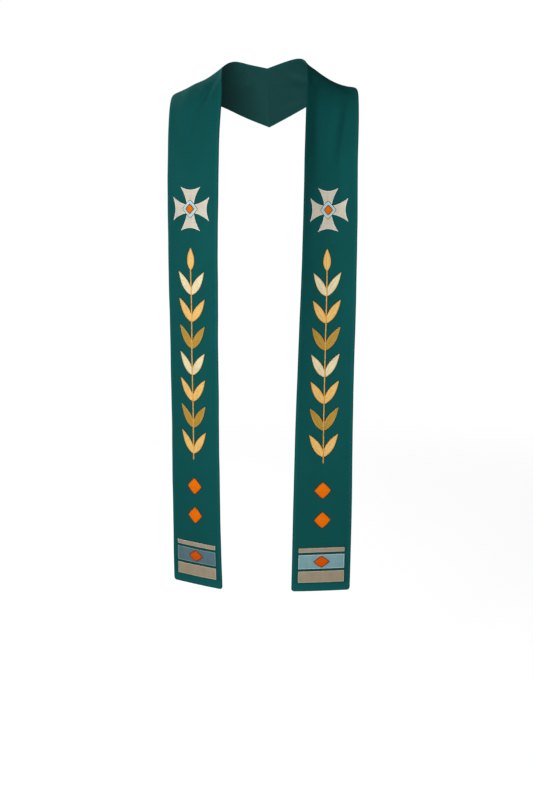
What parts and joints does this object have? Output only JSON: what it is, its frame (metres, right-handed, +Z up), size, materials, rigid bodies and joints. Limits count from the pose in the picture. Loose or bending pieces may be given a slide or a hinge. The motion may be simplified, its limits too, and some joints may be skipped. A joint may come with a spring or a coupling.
{
  "type": "clerical stole, worn",
  "caption": "Worn clerical stole: a green cloth band round the neck with two long front panels that carry applied crosses, leaf stems, lozenges and hem bands.",
  "frame": {"origin": "the neck edge of the centre-back seam, where the stole rests on the wearer's nape", "axes": "+Z up, along the hanging bands; +X towards the wearer's left; -Y towards the front, where the panels hang"},
  "size_m": [0.4072, 0.2874, 1.1439],
  "materials": {
    "green_cloth": "close plain weave, matt, deep teal green",
    "beige_cloth": "satin-faced weave with a silvery lustre",
    "slate_cloth": "satin-faced weave",
    "blue_cloth": "satin-faced weave",
    "gold_cloth": "satin stitch in gold thread",
    "ochre_cloth": "satin stitch in ochre gold thread",
    "ivory_cloth": "satin stitch in ivory thread",
    "orange_cloth": "satin stitch in orange thread"
  },
  "bodies": {
    "root": {"left_band": "green_cloth", "left_hem_band_low": "beige_cloth", "left_hem_band_middle": "slate_cloth", "left_hem_band_high": "beige_cloth", "left_hem_lozenge": "orange_cloth", "left_lozenge_low": "orange_cloth", "left_lozenge_high": "orange_cloth", "left_cross": "beige_cloth", "left_cross_plate": "blue_cloth", "left_cross_boss": "orange_cloth", "left_leaf_pair_1": "gold_cloth", "left_leaf_pair_2": "ochre_cloth", "left_leaf_pair_3": "gold_cloth", "left_leaf_pair_4": "ivory_cloth", "left_leaf_pair_5": "ochre_cloth", "left_leaf_pair_6": "gold_cloth", "left_leaf_pair_7": "ivory_cloth", "left_leaf_bud": "gold_cloth", "right_band": "green_cloth", "right_hem_band_low": "beige_cloth", "right_hem_band_middle": "slate_cloth", "right_hem_band_high": "beige_cloth", "right_hem_lozenge": "orange_cloth", "right_lozenge_low": "orange_cloth", "right_lozenge_high": "orange_cloth", "right_cross": "beige_cloth", "right_cross_plate": "blue_cloth", "right_cross_boss": "orange_cloth", "right_leaf_pair_1": "gold_cloth", "right_leaf_pair_2": "ochre_cloth", "right_leaf_pair_3": "gold_cloth", "right_leaf_pair_4": "ivory_cloth", "right_leaf_pair_5": "ochre_cloth", "right_leaf_pair_6": "gold_cloth", "right_leaf_pair_7": "ivory_cloth", "right_leaf_bud": "gold_cloth"}
  },
  "joints": []
}
